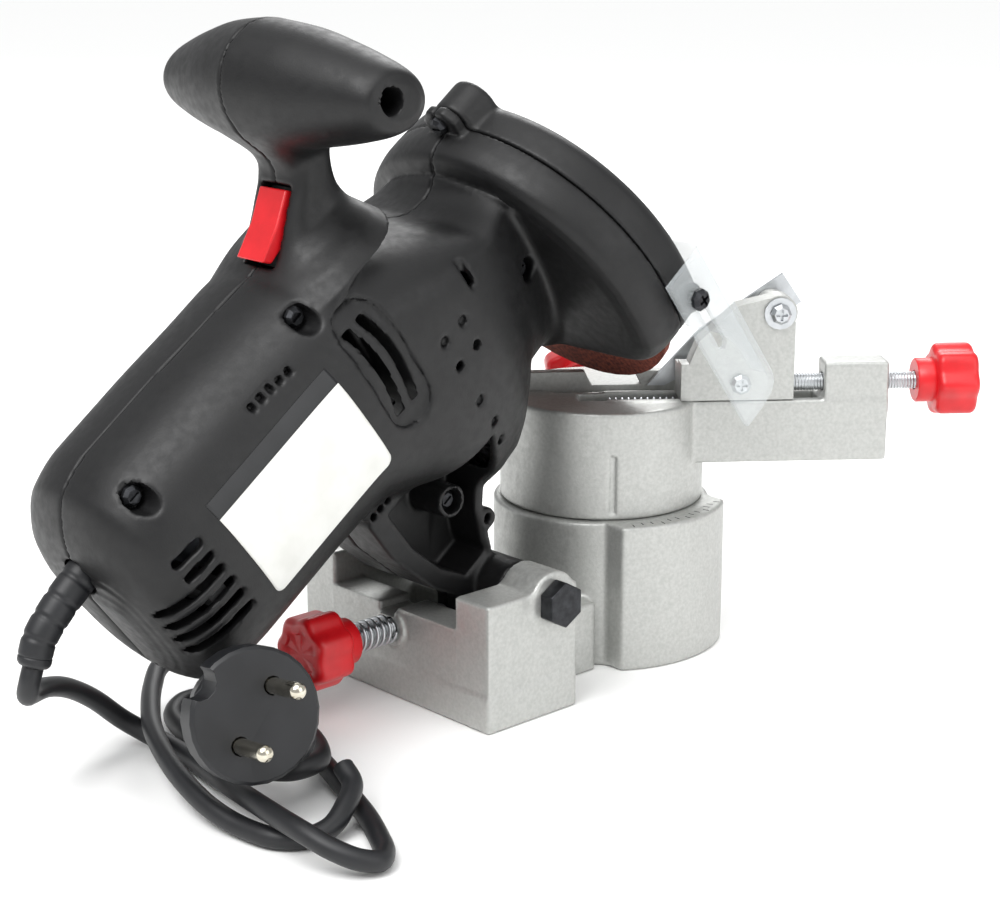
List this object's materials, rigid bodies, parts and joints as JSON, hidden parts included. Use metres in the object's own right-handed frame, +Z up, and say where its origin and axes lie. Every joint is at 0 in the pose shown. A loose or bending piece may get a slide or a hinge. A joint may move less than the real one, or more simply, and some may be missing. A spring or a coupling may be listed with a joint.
{
  "type": "electric chainsaw sharpener",
  "caption": "Bench grinder for saw chain: a motor head with a guarded thin wheel tips on a hinge bolt over a swivelling clamp vise with a chain stop; corded, with a handle.",
  "frame": {"origin": "on the bench under the base, on the axis that the vise swivels about", "axes": "+Z up, +X forward from the hinge to the vise and the clear visor, +Y to the left"},
  "size_m": [0.3268, 0.1634, 0.22],
  "materials": {
    "cast_aluminium": "satin die-cast",
    "black_plastic": "fine matt grain",
    "red_plastic": "satin",
    "zinc_steel": "bright zinc plate",
    "black_steel": "black oxide",
    "clear_plastic": "clear polycarbonate",
    "abrasive": "bonded abrasive grain",
    "rubber": "soft black",
    "nickel": "nickel plate",
    "gear_steel": "ground",
    "laminations": "lacquered laminations",
    "black_nylon": "glass-filled nylon",
    "carbon": "pressed carbon"
  },
  "bodies": {
    "base": {"base_casting": "cast_aluminium", "base_pad": "rubber", "hinge_bolt": "black_steel", "hinge_nut": "zinc_steel", "cord_lead": "rubber", "cord_coil": "rubber", "cord_tail": "rubber", "plug": "rubber", "plug_pin_upper": "nickel", "plug_pin_lower": "nickel"},
    "depth_stop": {"depth_screw": "zinc_steel", "depth_spring": "zinc_steel"},
    "depth_hand_knob": {"depth_knob": "red_plastic"},
    "vise": {"vise_body": "cast_aluminium", "swivel_bolt": "zinc_steel", "swivel_washer": "zinc_steel"},
    "clamp_jaw": {"clamp_plate": "cast_aluminium"},
    "clamp_spindle": {"clamp_screw": "zinc_steel", "clamp_knob": "red_plastic"},
    "carriage": {"chain_carriage": "cast_aluminium", "carriage_screw": "zinc_steel", "pawl_screw": "zinc_steel", "pawl_washer": "zinc_steel", "stop_spring": "zinc_steel"},
    "adjuster": {"adjusting_screw": "zinc_steel", "adjusting_knob": "red_plastic"},
    "pawl": {"stop_pawl": "zinc_steel"},
    "head": {"housing_right": "black_plastic", "housing_left": "black_plastic", "wheel_cover": "black_plastic", "cover_screw": "black_steel", "housing_screw_1": "black_steel", "housing_screw_2": "black_steel", "housing_screw_3": "black_steel", "housing_screw_4": "black_steel", "housing_screw_5": "black_steel", "visor_screw_right": "black_steel", "visor_screw_left": "black_steel", "stator": "laminations", "spindle_bearing_front": "gear_steel", "spindle_bearing_rear": "gear_steel", "motor_bearing_front": "gear_steel", "motor_bearing_rear": "gear_steel", "brush_right": "carbon", "brush_left": "carbon", "switch_body": "black_plastic", "strain_relief": "rubber"},
    "wheel_shaft": {"spindle": "gear_steel", "inner_flange": "zinc_steel", "grinding_wheel": "abrasive", "outer_flange": "zinc_steel", "wheel_nut": "zinc_steel", "spindle_gear": "gear_steel"},
    "motor_shaft": {"armature": "laminations", "pinion": "gear_steel", "fan": "black_nylon"},
    "clear_guard": {"visor": "clear_plastic"},
    "switch_rocker": {"rocker": "red_plastic"}
  },
  "joints": [
    {"name": "vise_swivel", "type": "hinge", "parent": "base", "child": "vise", "pos_m": [0, 0, 0.05], "axis": [0, 0, 1], "range_deg": [-1, 79]},
    {"name": "clamp_travel", "type": "slide", "parent": "vise", "child": "clamp_jaw", "axis": [-0.6293, -0.7771, 0], "range_m": [0, 0.0008]},
    {"name": "clamp_turn", "type": "hinge", "parent": "clamp_jaw", "child": "clamp_spindle", "pos_m": [-0.00233, 0.00189, 0.08], "axis": [-0.6293, -0.7771, 0], "range_deg": [0, 300]},
    {"name": "chain_stop_slide", "type": "slide", "parent": "vise", "child": "carriage", "axis": [0.7771, -0.6293, 0], "range_m": [-0.0025, 0.0025], "deforming": ["stop_spring"]},
    {"name": "adjuster_turn", "type": "hinge", "parent": "carriage", "child": "adjuster", "pos_m": [-0.00881, -0.01088, 0.092], "axis": [0.7771, -0.6293, 0], "range_deg": [-900, 900]},
    {"name": "pawl_flip", "type": "hinge", "parent": "carriage", "child": "pawl", "pos_m": [0.0443, -0.03587, 0.117], "axis": [0.6293, 0.7771, 0], "range_deg": [0, 24]},
    {"name": "depth_travel", "type": "slide", "parent": "base", "child": "depth_stop", "axis": [-1, 0, 0], "range_m": [0, 0.006], "deforming": ["depth_spring"]},
    {"name": "depth_turn", "type": "hinge", "parent": "depth_stop", "child": "depth_hand_knob", "pos_m": [-0.12, 0, 0.024], "axis": [-1, 0, 0], "range_deg": [0, 2160]},
    {"name": "head_tilt", "type": "hinge", "parent": "base", "child": "head", "pos_m": [-0.06675, 0, 0.0376], "axis": [0, 1, 0], "range_deg": [-5, 3.2], "deforming": ["cord_lead"]},
    {"name": "wheel_spin", "type": "hinge", "parent": "head", "child": "wheel_shaft", "pos_m": [-0.029, 0, 0.1337], "axis": [0.7934, 0, 0.6088], "continuous": true},
    {"name": "motor_spin", "type": "hinge", "parent": "head", "child": "motor_shaft", "pos_m": [-0.05366, 0, 0.16583], "axis": [0.7934, 0, 0.6088], "continuous": true},
    {"name": "visor_slide", "type": "slide", "parent": "head", "child": "clear_guard", "axis": [-0.6088, 0, 0.7934], "range_m": [0, 0.02]},
    {"name": "switch_rock", "type": "hinge", "parent": "head", "child": "switch_rocker", "pos_m": [-0.1379, 0, 0.1594], "axis": [0, -1, 0], "range_deg": [0, 10]}
  ],
  "couplings": [
    {"joint": "clamp_turn", "follows": "clamp_travel", "rad_per_m": 6283.2},
    {"joint": "adjuster_turn", "follows": "chain_stop_slide", "rad_per_m": 6283.2},
    {"joint": "depth_turn", "follows": "depth_travel", "rad_per_m": 6283.2},
    {"joint": "motor_spin", "follows": "wheel_spin", "ratio": -1.5}
  ]
}
